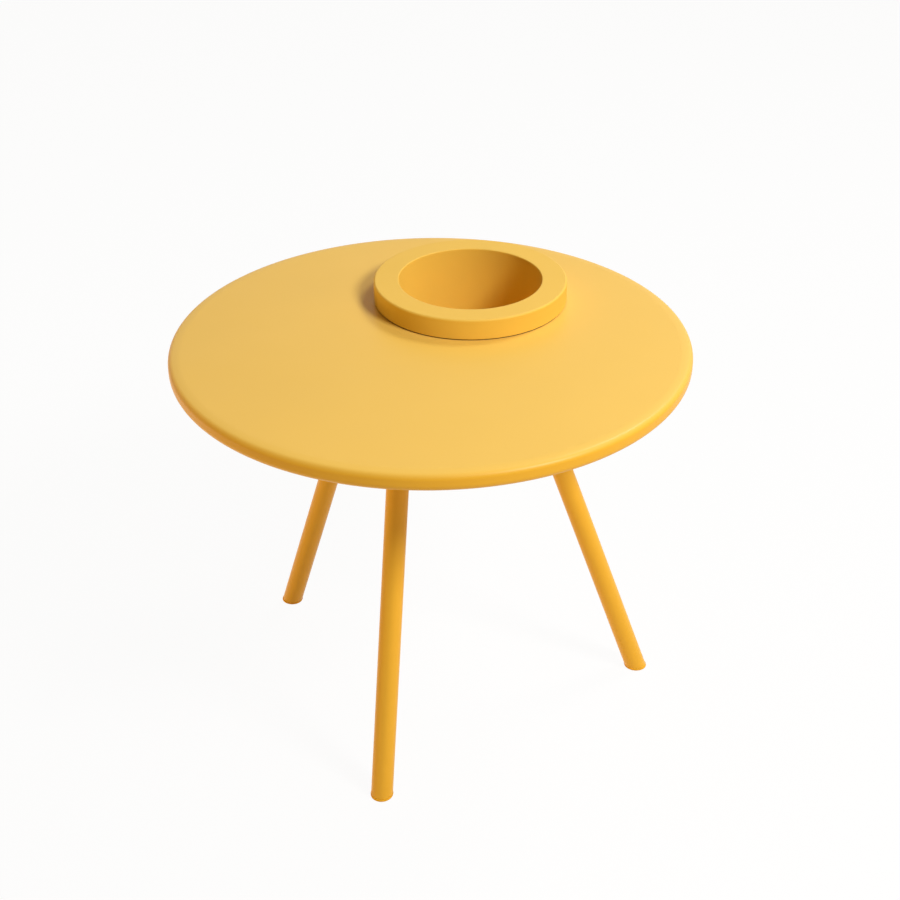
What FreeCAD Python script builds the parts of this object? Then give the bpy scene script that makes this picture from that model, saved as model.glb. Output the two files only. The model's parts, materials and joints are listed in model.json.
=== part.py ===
import FreeCAD, Part
import math
import os

from FreeCAD import Placement, Rotation, Vector

# A round outdoor side table with a lift-out planter pot, standing on three splayed tube legs.
# Millimetres and degrees. The origin is on the floor under the tabletop's axis, +Z is up and
# +Y points from the tabletop's axis towards the pot.

# Tabletop: one pressed sheet with a rounded rim, a folded hem and a drawn neck round the pot's hole
TABLETOP_RADIUS = 300.0
TABLETOP_HEIGHT = 470.0
SHEET = 2.0
RIM_DEPTH = 22.0
RIM_UPPER_ROUND = 6.5
RIM_LOWER_ROUND = 9.5
HEM_WIDTH = 15.0
HOLE_BEND_RADIUS = 4.0
HOLE_NECK_DEPTH = 14.0

# Planter pot: a moulded bucket with a broad, hollow collar
POT_OFFSET = 121.5
POT_MOUTH_RADIUS = 86.0
POT_DEPTH = 190.0
POT_WALL = 3.0
POT_DRAFT = 4.0
POT_FLOOR_ROUND = 10.0
POT_STAND_WIDTH = 9.0
POT_STAND_HEIGHT = 2.0
COLLAR_WIDTH = 30.0
COLLAR_HEIGHT = 26.0
COLLAR_EDGE_ROUND = 2.5
COLLAR_FOOT_ROUND = 0.8
MOUTH_ROUND = 1.5

# Seat ring: a soft ring of angle section that lines the hole and cushions the collar
SEAT_THICKNESS = 1.3
SEAT_SETBACK = 1.3
SEAT_NECK_WALL = 2.0
SEAT_NECK_DEPTH = 11.0
SEAT_EDGE_ROUND = 0.6

# Legs: azimuth about the table's axis, axis radius under the base plate, axis radius at the floor
FRONT_LEG_AZIMUTH = -81.0
FRONT_LEG_TOP_RADIUS = 126.0
FRONT_LEG_FLOOR_RADIUS = 251.5
RIGHT_LEG_AZIMUTH = 22.3
RIGHT_LEG_TOP_RADIUS = 96.5
RIGHT_LEG_FLOOR_RADIUS = 259.5
LEFT_LEG_AZIMUTH = 165.8
LEFT_LEG_TOP_RADIUS = 82.5
LEFT_LEG_FLOOR_RADIUS = 244.5
TUBE_RADIUS = 12.7
TUBE_WALL = 1.5

# Leg joint: a boss welded under the base plate, a stud, and a threaded plug in the tube's top
SOCKET_LENGTH = 30.0
SOCKET_STEP = 3.0
SOCKET_CHAMFER = 1.5
PLUG_HEAD = 3.0
PLUG_SHANK = 22.0
LEG_STUD_RADIUS = 5.0
LEG_STUD_IN_SOCKET = 20.0
LEG_STUD_IN_PLUG = 18.0
LEG_STUD_CHAMFER = 0.8
SOCKET_HOLE_SPARE = 2.0

# Feet: thin caps that lie level on the floor, each with a barbed spigot in the tube's lower end
FOOT_STEP = 0.5
FOOT_CAP_HEIGHT = 3.0
FOOT_EDGE_ROUND = 1.5
FOOT_SPIGOT_LENGTH = 24.0
FOOT_SPIGOT_CORE = 2.0
FOOT_BARB_COUNT = 3

# Base plate and the studs, washers and nuts that hold it under the tabletop
PLATE_THICKNESS = 4.0
PLATE_MARGIN = 42.0
PLATE_CORNER_ROUND = 8.0
PLATE_NECK_GAP = 4.0
SOCKET_NECK_GAP = 6.0
PLATE_STUD_REACH = 14.5
PLATE_STUD_TURN = 60.0
PLATE_STUD_RADIUS = 3.0
PLATE_STUD_SPARE = 3.0
WASHER_RADIUS = 6.0
WASHER_THICKNESS = 1.2
NUT_FLATS = 10.0
NUT_HEIGHT = 5.0

# Clearances
RUNNING_GAP = 0.3
THREAD_GAP = 0.05
PLUG_GAP = 0.05
BOLT_HOLE_GAP = 0.3

# Levels and radii that follow from the sizes above
UP = Vector(0, 0, 1)
POT_CENTRE = Vector(0, POT_OFFSET, 0)
SHEET_UNDERSIDE = TABLETOP_HEIGHT - SHEET
PLATE_UNDERSIDE = SHEET_UNDERSIDE - PLATE_THICKNESS
SEAT_LEVEL = TABLETOP_HEIGHT + SEAT_THICKNESS
COLLAR_TOP = TABLETOP_HEIGHT + COLLAR_HEIGHT
COLLAR_RADIUS = POT_MOUTH_RADIUS + COLLAR_WIDTH
POT_FLOOR = COLLAR_TOP - POT_DEPTH
POT_BASE = POT_FLOOR - POT_WALL - POT_STAND_HEIGHT


def bucket_inner(level):
    """Radius of the bucket's inner wall at a level."""
    return POT_MOUTH_RADIUS - (COLLAR_TOP - level) * math.tan(math.radians(POT_DRAFT))


def bucket_outer(level):
    """Radius of the bucket's outer wall at a level."""
    return bucket_inner(level) + POT_WALL


SEAT_NECK_INNER = bucket_outer(SEAT_LEVEL) + RUNNING_GAP
SEAT_NECK_OUTER = SEAT_NECK_INNER + SEAT_NECK_WALL
HOLE_RADIUS = SEAT_NECK_OUTER + RUNNING_GAP
HOLE_NECK_OUTER = HOLE_RADIUS + SHEET
SOCKET_RADIUS = TUBE_RADIUS + SOCKET_STEP
TUBE_BORE = TUBE_RADIUS - TUBE_WALL
FOOT_RADIUS = TUBE_RADIUS + FOOT_STEP


def rounded_face(corners):
    """Flat face in the XZ plane from corners (x, z, round); a round of 0 keeps the corner sharp."""
    points = [Vector(x, 0, z) for x, z, _ in corners]
    count = len(points)
    starts = []
    ends = []
    edges = []
    for i in range(count):
        here = points[i]
        to_last = (points[i - 1] - here).normalize()
        to_next = (points[(i + 1) % count] - here).normalize()
        half_angle = to_last.getAngle(to_next) / 2
        radius = corners[i][2]
        reach = radius / math.tan(half_angle) if radius else 0
        starts.append(here + to_last * reach)
        ends.append(here + to_next * reach)
        if radius:
            bisector = (to_last + to_next).normalize()
            middle = here + bisector * (radius / math.sin(half_angle) - radius)
            edges.append(Part.Arc(starts[i], middle, ends[i]).toShape())
    for i in range(count):
        after = starts[(i + 1) % count]
        if (after - ends[i]).Length > 1e-6:
            edges.append(Part.LineSegment(ends[i], after).toShape())
    return Part.Face(Part.Wire(Part.__sortEdges__(edges)))


def turned(corners, centre=Vector(0, 0, 0)):
    """Solid of revolution about +Z, moved to a centre."""
    solid = rounded_face(corners).revolve(Vector(0, 0, 0), UP, 360)
    solid.translate(centre)
    return solid


def drilled_disc(outer, inner, low, high):
    """Disc with a round hole between two levels on +Z."""
    disc = Part.makeCylinder(outer, high - low, Vector(0, 0, low))
    return disc.cut(Part.makeCylinder(inner, high - low, Vector(0, 0, low)))


def chamfered_rod(radius, chamfer, low, high):
    """Round rod on +Z with both ends chamfered."""
    return turned([
        (0, low, 0),
        (radius - chamfer, low, 0),
        (radius, low + chamfer, 0),
        (radius, high - chamfer, 0),
        (radius - chamfer, high, 0),
        (0, high, 0),
    ])


def below(level):
    """Block that takes away everything under a level."""
    reach = 2 * TABLETOP_RADIUS
    return Part.makeBox(2 * reach, 2 * reach, reach, Vector(-reach, -reach, level - reach))


def above(level):
    """Block that takes away everything over a level."""
    reach = 2 * TABLETOP_RADIUS
    return Part.makeBox(2 * reach, 2 * reach, reach, Vector(-reach, -reach, level))


def tabletop():
    """Pressed sheet: flat top, rounded rim, hem folded inwards, neck drawn down round the hole."""
    low = TABLETOP_HEIGHT - RIM_DEPTH
    rim = TABLETOP_RADIUS
    tray = turned([
        (0, TABLETOP_HEIGHT, 0),
        (rim, TABLETOP_HEIGHT, RIM_UPPER_ROUND),
        (rim, low, RIM_LOWER_ROUND),
        (rim - HEM_WIDTH, low, 0),
        (rim - HEM_WIDTH, low + SHEET, 0),
        (rim - SHEET, low + SHEET, RIM_LOWER_ROUND - SHEET),
        (rim - SHEET, SHEET_UNDERSIDE, RIM_UPPER_ROUND - SHEET),
        (0, SHEET_UNDERSIDE, 0),
    ])
    bend_end = HOLE_RADIUS + HOLE_BEND_RADIUS
    neck_end = TABLETOP_HEIGHT - HOLE_NECK_DEPTH
    neck = turned([
        (bend_end, TABLETOP_HEIGHT, 0),
        (HOLE_RADIUS, TABLETOP_HEIGHT, HOLE_BEND_RADIUS),
        (HOLE_RADIUS, neck_end, 0),
        (HOLE_NECK_OUTER, neck_end, 0),
        (HOLE_NECK_OUTER, SHEET_UNDERSIDE, HOLE_BEND_RADIUS - SHEET),
        (bend_end, SHEET_UNDERSIDE, 0),
    ], POT_CENTRE)
    hole = Part.makeCylinder(bend_end, RIM_DEPTH, POT_CENTRE + UP * low)
    return tray.cut(hole).fuse(neck).removeSplitter()


def planter_pot():
    """Bucket and hollow collar as one moulded wall, with a standing ring under the floor."""
    base_radius = bucket_outer(POT_BASE)
    stand_inner = base_radius - POT_FLOOR_ROUND - POT_STAND_WIDTH
    stand_top = POT_BASE + POT_STAND_HEIGHT
    under_collar = COLLAR_TOP - POT_WALL
    skirt_inner = COLLAR_RADIUS - POT_WALL
    return turned([
        (0, POT_FLOOR, 0),
        (bucket_inner(POT_FLOOR), POT_FLOOR, POT_FLOOR_ROUND),
        (POT_MOUTH_RADIUS, COLLAR_TOP, MOUTH_ROUND),
        (COLLAR_RADIUS, COLLAR_TOP, COLLAR_EDGE_ROUND),
        (COLLAR_RADIUS, SEAT_LEVEL, COLLAR_FOOT_ROUND),
        (skirt_inner, SEAT_LEVEL, 0),
        (skirt_inner, under_collar, MOUTH_ROUND),
        (bucket_outer(under_collar), under_collar, MOUTH_ROUND),
        (base_radius, POT_BASE, POT_FLOOR_ROUND),
        (stand_inner, POT_BASE, 0),
        (stand_inner - POT_STAND_HEIGHT, stand_top, 0),
        (0, stand_top, 0),
    ], POT_CENTRE)


def pot_seat_ring():
    """Soft ring: a thin flange under the collar and a neck that lines the hole."""
    edge = COLLAR_RADIUS - SEAT_SETBACK
    neck_end = TABLETOP_HEIGHT - SEAT_NECK_DEPTH
    return turned([
        (SEAT_NECK_INNER, SEAT_LEVEL, SEAT_EDGE_ROUND),
        (edge, SEAT_LEVEL, 0),
        (edge, TABLETOP_HEIGHT, 0),
        (SEAT_NECK_OUTER, TABLETOP_HEIGHT, HOLE_BEND_RADIUS / 2),
        (SEAT_NECK_OUTER, neck_end, SEAT_EDGE_ROUND),
        (SEAT_NECK_INNER, neck_end, SEAT_EDGE_ROUND),
    ], POT_CENTRE)


def clear_of_neck(azimuth, radius):
    """Leg-top radius on an azimuth, moved out where the socket would come too near the pot's neck."""
    room = HOLE_NECK_OUTER + SOCKET_NECK_GAP + SOCKET_RADIUS
    from_pot = math.radians(90 - azimuth)
    along = POT_OFFSET * math.cos(from_pot)
    across = POT_OFFSET * math.sin(from_pot)
    if abs(across) >= room:
        return radius
    half_chord = math.sqrt(room ** 2 - across ** 2)
    inside = along - half_chord < radius < along + half_chord
    return along + half_chord if inside else radius


class Leg:
    """One leg's axis, from the base plate's underside down to the floor."""

    def __init__(self, side, azimuth, top_radius, floor_radius):
        angle = math.radians(azimuth)
        self.side = side
        self.outwards = Vector(math.cos(angle), math.sin(angle), 0)
        self.top = self.outwards * clear_of_neck(azimuth, top_radius) + UP * PLATE_UNDERSIDE
        foot = self.outwards * floor_radius
        self.axis = (foot - self.top).normalize()
        self.tube_start = SOCKET_LENGTH + PLUG_HEAD
        self.tube_end = (foot - self.top).Length - FOOT_CAP_HEIGHT
        self.past_floor = self.tube_end + 2 * FOOT_RADIUS

    def placed(self, solid):
        """Solid modelled on +Z, set on the leg's axis with +Z running down the leg."""
        turn = Rotation(UP, self.axis)
        return solid.transformed(Placement(self.top, turn).toMatrix(), copy=True)

    def socket(self):
        """Boss with a square lower face, a blind hole, and its top cut level for welding."""
        hole_start = SOCKET_LENGTH - LEG_STUD_IN_SOCKET - SOCKET_HOLE_SPARE
        boss = turned([
            (0, -SOCKET_LENGTH, 0),
            (SOCKET_RADIUS, -SOCKET_LENGTH, 0),
            (SOCKET_RADIUS, SOCKET_LENGTH - SOCKET_CHAMFER, 0),
            (SOCKET_RADIUS - SOCKET_CHAMFER, SOCKET_LENGTH, 0),
            (0, SOCKET_LENGTH, 0),
        ])
        hole_length = SOCKET_LENGTH - hole_start
        hole = Part.makeCylinder(LEG_STUD_RADIUS + THREAD_GAP, hole_length, UP * hole_start)
        return self.placed(boss.cut(hole)).cut(above(PLATE_UNDERSIDE))

    def stud(self):
        """Plain rod that stands for the threaded stud between boss and plug."""
        low = SOCKET_LENGTH - LEG_STUD_IN_SOCKET
        high = SOCKET_LENGTH + LEG_STUD_IN_PLUG
        return self.placed(chamfered_rod(LEG_STUD_RADIUS, LEG_STUD_CHAMFER, low, high))

    def plug(self):
        """Turned plug with a head on the tube's end and a drilled shank inside the tube."""
        shank_end = self.tube_start + PLUG_SHANK
        shank_radius = TUBE_BORE - PLUG_GAP
        return self.placed(turned([
            (LEG_STUD_RADIUS + THREAD_GAP, SOCKET_LENGTH, 0),
            (TUBE_RADIUS, SOCKET_LENGTH, 0),
            (TUBE_RADIUS, self.tube_start, 0),
            (shank_radius, self.tube_start, 0),
            (shank_radius, shank_end, 0),
            (LEG_STUD_RADIUS + THREAD_GAP, shank_end, 0),
        ]))

    def tube(self):
        """Round tube, cut square at the top and level above the foot."""
        tube = drilled_disc(TUBE_RADIUS, TUBE_BORE, self.tube_start, self.past_floor)
        return self.placed(tube).cut(below(FOOT_CAP_HEIGHT))

    def foot(self):
        """Level cap with a rounded lower edge, and a barbed spigot on its upper face."""
        side = Part.makeCylinder(FOOT_RADIUS, self.past_floor - self.tube_start, UP * self.tube_start)
        cap = self.placed(side).cut(below(0)).cut(above(FOOT_CAP_HEIGHT))
        lower_edges = [edge for edge in cap.Edges if edge.BoundBox.ZMax < FOOT_CAP_HEIGHT / 2]
        cap = cap.makeFillet(FOOT_EDGE_ROUND, lower_edges)
        spigot = self.placed(self.spigot()).cut(below(FOOT_CAP_HEIGHT))
        return cap.fuse(spigot).removeSplitter()

    def spigot(self):
        """Core with sloping barbs that grip the tube's bore."""
        barb_radius = TUBE_BORE - PLUG_GAP
        core_radius = TUBE_BORE - FOOT_SPIGOT_CORE
        pitch = FOOT_SPIGOT_LENGTH / FOOT_BARB_COUNT
        corners = [(0, self.past_floor, 0), (barb_radius, self.past_floor, 0)]
        for i in range(FOOT_BARB_COUNT):
            level = self.tube_end - i * pitch
            corners.append((barb_radius, level - pitch / 4, 0))
            corners.append((core_radius, level - pitch, 0))
            if i < FOOT_BARB_COUNT - 1:
                corners.append((barb_radius, level - pitch, 0))
        corners.append((0, self.tube_end - FOOT_SPIGOT_LENGTH, 0))
        return turned(corners)

    def plate_stud_places(self):
        """Two places under the sheet, beside the socket and on its side away from the pot."""
        beside = Vector(self.top.x, self.top.y, 0)
        away = (beside - POT_CENTRE).normalize() * (SOCKET_RADIUS + PLATE_STUD_REACH)
        return [beside + Rotation(UP, turn).multVec(away) for turn in (PLATE_STUD_TURN, -PLATE_STUD_TURN)]


LEGS = [
    Leg("front", FRONT_LEG_AZIMUTH, FRONT_LEG_TOP_RADIUS, FRONT_LEG_FLOOR_RADIUS),
    Leg("right", RIGHT_LEG_AZIMUTH, RIGHT_LEG_TOP_RADIUS, RIGHT_LEG_FLOOR_RADIUS),
    Leg("left", LEFT_LEG_AZIMUTH, LEFT_LEG_TOP_RADIUS, LEFT_LEG_FLOOR_RADIUS),
]
PLATE_STUD_PLACES = [place for leg in LEGS for place in leg.plate_stud_places()]


def base_plate():
    """Rounded triangle of plate that carries the sockets, with a bite taken out for the pot."""
    tops = [Vector(leg.top.x, leg.top.y, PLATE_UNDERSIDE) for leg in LEGS]
    outline = Part.makePolygon(tops + [tops[0]]).makeOffset2D(PLATE_MARGIN)
    plate = Part.Face(outline).extrude(UP * PLATE_THICKNESS)
    bite_radius = HOLE_NECK_OUTER + PLATE_NECK_GAP
    bite = Part.makeCylinder(bite_radius, PLATE_THICKNESS, POT_CENTRE + UP * PLATE_UNDERSIDE)
    bite.rotate(POT_CENTRE, UP, 90)
    plate = plate.cut(bite)
    horns = []
    for edge in plate.Edges:
        first, last = edge.firstVertex().Point, edge.lastVertex().Point
        upright = abs(first.z - last.z) > PLATE_THICKNESS / 2
        offset = Vector(first.x, first.y - POT_OFFSET, 0).Length
        if upright and abs(offset - bite_radius) < 1e-3:
            horns.append(edge)
    plate = plate.makeFillet(PLATE_CORNER_ROUND, horns)
    for place in PLATE_STUD_PLACES:
        start = place + UP * PLATE_UNDERSIDE
        plate = plate.cut(Part.makeCylinder(PLATE_STUD_RADIUS + BOLT_HOLE_GAP, PLATE_THICKNESS, start))
    return plate


def at_plate_studs(solid):
    """Group of copies of one fastener, one at each stud place."""
    copies = []
    for place in PLATE_STUD_PLACES:
        copy = solid.copy()
        copy.translate(place)
        copies.append(copy)
    return Part.makeCompound(copies)


WASHER_UNDERSIDE = PLATE_UNDERSIDE - WASHER_THICKNESS
NUT_UNDERSIDE = WASHER_UNDERSIDE - NUT_HEIGHT


def plate_studs():
    """Studs welded to the underside of the sheet."""
    length = SHEET_UNDERSIDE - NUT_UNDERSIDE + PLATE_STUD_SPARE
    return at_plate_studs(Part.makeCylinder(PLATE_STUD_RADIUS, length, UP * (SHEET_UNDERSIDE - length)))


def plate_washers():
    """Flat washers under the base plate."""
    hole = PLATE_STUD_RADIUS + BOLT_HOLE_GAP
    return at_plate_studs(drilled_disc(WASHER_RADIUS, hole, WASHER_UNDERSIDE, PLATE_UNDERSIDE))


def plate_nuts():
    """Hexagon nuts, chamfered on their lower face."""
    across_corners = NUT_FLATS / math.cos(math.radians(30))
    corners = [Vector(across_corners / 2, 0, NUT_UNDERSIDE)]
    for i in range(6):
        corners.append(Rotation(UP, 60).multVec(corners[i]))
    prism = Part.Face(Part.makePolygon(corners)).extrude(UP * NUT_HEIGHT)
    slope = (across_corners - NUT_FLATS) / 2
    cone = Part.makeCone(NUT_FLATS / 2, NUT_FLATS / 2 + 2 * slope, 2 * slope, UP * NUT_UNDERSIDE)
    rest = Part.makeCylinder(across_corners, NUT_HEIGHT - 2 * slope, UP * (NUT_UNDERSIDE + 2 * slope))
    hole = Part.makeCylinder(PLATE_STUD_RADIUS + THREAD_GAP, NUT_HEIGHT, UP * NUT_UNDERSIDE)
    return at_plate_studs(prism.common(cone.fuse(rest)).cut(hole))


def all_nodes():
    """Every piece by its node's name."""
    nodes = {
        "tabletop": tabletop(),
        "planter_pot": planter_pot(),
        "pot_seat_ring": pot_seat_ring(),
        "base_plate": base_plate(),
        "plate_studs": plate_studs(),
        "plate_washers": plate_washers(),
        "plate_nuts": plate_nuts(),
    }
    for leg in LEGS:
        nodes["leg_socket_" + leg.side] = leg.socket()
        nodes["leg_stud_" + leg.side] = leg.stud()
        nodes["leg_plug_" + leg.side] = leg.plug()
        nodes["leg_tube_" + leg.side] = leg.tube()
        nodes["leg_foot_" + leg.side] = leg.foot()
    return nodes


os.makedirs("parts", exist_ok=True)
for name, shape in all_nodes().items():
    shape.exportStep("parts/" + name + ".step")
    box = shape.BoundBox
    print(name, len(shape.Solids), "solids, valid", shape.isValid(), "volume %.1f" % shape.Volume,
          "z %.2f to %.2f" % (box.ZMin, box.ZMax))
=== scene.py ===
import json
import math

import bmesh
import bpy
from bpy.props import FloatProperty, FloatVectorProperty, IntProperty, PointerProperty
from mathutils import Matrix, Vector


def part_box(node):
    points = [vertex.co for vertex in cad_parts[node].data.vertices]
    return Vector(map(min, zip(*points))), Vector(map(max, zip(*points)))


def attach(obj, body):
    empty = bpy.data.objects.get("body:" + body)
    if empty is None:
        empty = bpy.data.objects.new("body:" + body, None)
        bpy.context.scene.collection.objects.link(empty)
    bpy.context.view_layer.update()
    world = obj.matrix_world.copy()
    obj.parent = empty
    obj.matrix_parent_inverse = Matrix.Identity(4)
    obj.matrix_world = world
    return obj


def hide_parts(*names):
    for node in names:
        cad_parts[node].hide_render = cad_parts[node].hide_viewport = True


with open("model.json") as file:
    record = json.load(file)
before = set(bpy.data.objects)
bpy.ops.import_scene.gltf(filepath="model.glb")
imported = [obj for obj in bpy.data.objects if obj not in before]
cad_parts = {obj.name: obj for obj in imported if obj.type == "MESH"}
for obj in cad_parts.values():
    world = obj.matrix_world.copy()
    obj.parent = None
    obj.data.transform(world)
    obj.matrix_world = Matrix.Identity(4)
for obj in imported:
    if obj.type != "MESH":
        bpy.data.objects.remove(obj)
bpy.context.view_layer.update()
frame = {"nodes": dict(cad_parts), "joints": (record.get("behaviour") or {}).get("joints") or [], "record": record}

bl_info = {
    "name": "Planter Table",
    "version": (1, 0, 0),
    "blender": (4, 5, 0),
    "location": "View3D > Sidebar > Planter Table",
    "description": "Finished surfaces of a round side table with a lift-out planter pot",
    "category": "Object",
}

# Metres. The frame's origin is on the floor under the tabletop's axis, and +Y points to the pot.
UP = Vector((0, 0, 1))
WHITE = (1, 1, 1)
FULL_TURN = 2 * math.pi
QUARTER_TURN = math.pi / 2
LEG_SIDES = ("front", "right", "left")

# Tolerances in metres, and the angles at which faces count as one or as meeting at a hard edge
MERGE_DISTANCE = 1e-7
LOOSE_MERGE_DISTANCE = 1e-6
LEVEL_TOLERANCE = 1e-5
FLAT_ANGLE = math.radians(0.5)
HARD_ANGLE = math.radians(35)

# Screw threads: depth as a share of the pitch, steps in a turn, and turns below the start that the cut takes off
THREAD_DEPTH = 0.61
THREAD_STEPS = 24
THREAD_SPARE_TURNS = 2

# Weld beads: sides of the section, and steps along each ripple
BEAD_SIDES = 12
BEAD_RIPPLE_STEPS = 6

# Share of the pitch over which a barb on a foot's spigot has its full width
BARB_LAND = 0.25

# Darkest and brightest shade of a colour that drifts
FAINT_DRIFT = (0.97, 1.02)
CAP_DRIFT = (0.95, 1.02)
RUBBER_DRIFT = (0.85, 1.15)
ZINC_DRIFT = (0.82, 1.05)
NOISE_MEAN = 0.5

# Places of the Mix node's colour sockets, whose names repeat those of its other sockets
MIX_FACTOR, MIX_FIRST, MIX_SECOND, MIX_RESULT = 0, 6, 7, 2

# Millimetres
SENSOR_WIDTH = 36


# Sizes read from the frame

def node_points(node):
    """Corners of a CAD node's mesh."""
    return [vertex.co for vertex in frame["nodes"][node].data.vertices]


def middle(node):
    """Middle of a CAD node's box."""
    low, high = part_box(node)
    return (low + high) / 2


class Axis:
    """Line that a round piece is turned about. Its own height 0 is at the origin given."""

    def __init__(self, origin, direction=UP):
        self.origin = Vector(origin)
        self.direction = Vector(direction).normalized()
        turn = UP.rotation_difference(self.direction).to_matrix().to_4x4()
        self.place = Matrix.Translation(self.origin) @ turn

    def span(self, node):
        """Lowest and highest place of a CAD node along the line."""
        heights = [(point - self.origin).dot(self.direction) for point in node_points(node)]
        return min(heights), max(heights)

    def reach(self, node):
        """Smallest and largest distance of a CAD node's corners from the line."""
        radii = [(point - self.origin).cross(self.direction).length for point in node_points(node)]
        return min(radii), max(radii)

    def height_at(self, level):
        """The line's own height where it passes a level above the floor."""
        return (level - self.origin.z) / self.direction.z

    def at_level(self, level):
        """Point of the line at a level above the floor."""
        return self.origin + self.direction * self.height_at(level)


def leg_axis(side):
    """Axis of a leg from the middle of its stud to the middle of its foot, with its own height running down."""
    top = middle("leg_stud_" + side)
    foot = next(mount for mount in frame["record"]["mounts"] if mount["name"] == "foot_" + side)
    return Axis(top, Vector(foot["pos_m"]) - top)


TURN_JOINT = next(joint for joint in frame["joints"] if joint["name"] == "pot_turn")
TABLE_AXIS = Axis((0, 0, 0))
POT_AXIS = Axis((TURN_JOINT["pos_m"][0], TURN_JOINT["pos_m"][1], 0))
LEG_AXES = {side: leg_axis(side) for side in LEG_SIDES}
PLATE_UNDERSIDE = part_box("base_plate")[0].z


# Settings that a user would change

def length(name, description, default):
    """Property that holds a length in metres."""
    return FloatProperty(name=name, description=description, default=default, min=0, unit="LENGTH", precision=4)


def angle(name, description, degrees):
    """Property that holds an angle."""
    return FloatProperty(name=name, description=description, default=math.radians(degrees), subtype="ANGLE")


def number(name, description, default):
    """Property that holds a plain number."""
    return FloatProperty(name=name, description=description, default=default, min=0)


def colour(name, description, default):
    """Property that holds a linear colour."""
    return FloatVectorProperty(name=name, description=description, default=default, size=3, min=0, max=1,
                               subtype="COLOR")


def count(name, description, default):
    """Property that holds a whole number."""
    return IntProperty(name=name, description=description, default=default, min=3)


class PlanterTableTopSizes(bpy.types.PropertyGroup):
    """Pressed sheet of the tabletop"""
    sheet: length("Sheet", "Thickness of the pressed sheet", 0.002)
    shoulder_width: length("Shoulder Width", "Width over which the top slopes gently before the rim", 0.010)
    shoulder_drop: length("Shoulder Drop", "Drop of that slope at the rim", 0.0020)
    shoulder_round: length("Shoulder Round", "Radius between the flat top and the slope", 0.045)
    upper_round: length("Upper Round", "Radius of the rim's upper edge", 0.0065)
    lower_round: length("Lower Round", "Radius of the rim's lower edge", 0.0095)
    hem_width: length("Hem Width", "Width of the hem folded in under the rim", 0.015)
    hem_round: length("Hem Round", "Radius along the hem's free edge", 0.0008)
    hole_bend: length("Hole Bend", "Radius of the bend into the neck round the hole", 0.004)
    neck_depth: length("Neck Depth", "Depth of the neck below the top face", 0.014)
    neck_round: length("Neck Round", "Radius along the neck's free edge", 0.0006)
    flat_margin: length("Flat Margin", "Flat kept beside each bend before the broad flat starts", 0.006)
    steps: count("Steps", "Steps round the tabletop", 288)


class PlanterTablePotSizes(bpy.types.PropertyGroup):
    """Moulded planter pot and the soft ring under its collar"""
    wall: length("Wall", "Thickness of the moulded wall", 0.003)
    depth: length("Depth", "Depth inside, from the collar's top to the floor", 0.190)
    draft: angle("Draft", "Slope of the bucket's wall", 4)
    collar_width: length("Collar Width", "Width of the flat top of the collar", 0.030)
    edge_round: length("Edge Round", "Radius of the collar's outer upper edge", 0.0025)
    foot_round: length("Foot Round", "Radius of the collar's lower edge", 0.0008)
    mouth_round: length("Mouth Round", "Radius of the mouth's edge", 0.0015)
    floor_round: length("Floor Round", "Radius between the wall and the floor", 0.010)
    stand_width: length("Stand Width", "Width of the ring that the pot stands on", 0.009)
    stand_height: length("Stand Height", "Height of the ring that the pot stands on", 0.002)
    stand_round: length("Stand Round", "Radius on the standing ring's inner edges", 0.0006)
    seat_round: length("Seat Round", "Radius on the soft ring's edges", 0.0005)
    seat_fit: number("Seat Fit", "Share of the gap inside the neck that the soft ring's wall fills", 0.87)
    steps: count("Steps", "Steps round the pot", 224)


class PlanterTableLegSizes(bpy.types.PropertyGroup):
    """Legs, feet, sockets and the fasteners that hold them"""
    end_round: length("End Round", "Radius on the tube's cut ends", 0.0003)
    clearance: length("Clearance", "Gap between a plug, spigot or stud and the bore round it", 0.00005)
    foot_round: length("Foot Round", "Radius of the foot's lower edge", 0.0015)
    lip_round: length("Lip Round", "Radius of the edges where the foot meets the tube", 0.0004)
    barb_count: count("Barbs", "Barbs on the foot's spigot", 3)
    barb_depth: length("Barb Depth", "Depth of the foot's barbs", 0.002)
    socket_chamfer: length("Socket Chamfer", "Chamfer on the socket's lower edge", 0.0015)
    socket_round: length("Socket Round", "Radius beside the socket's chamfer", 0.0006)
    bead: length("Bead", "Radius of the weld bead round a socket", 0.0026)
    bead_ripples: count("Bead Ripples", "Ripples round a weld bead", 34)
    bead_ripple: number("Bead Ripple", "Share by which a ripple swells the bead", 0.1)
    bead_waves: count("Bead Waves", "Slow waves in width round a weld bead", 5)
    bead_wave: number("Bead Wave", "Share by which a slow wave swells the bead", 0.05)
    plate_ease: length("Plate Ease", "Rounding on the base plate's edges", 0.0006)
    fastener_ease: length("Fastener Ease", "Rounding on the edges of washers and nuts", 0.00015)
    plate_pitch: length("Plate Thread", "Thread pitch of the studs under the tabletop", 0.001)
    leg_pitch: length("Leg Thread", "Thread pitch of the leg studs", 0.0015)
    steps: count("Steps", "Steps round a leg", 64)


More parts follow.
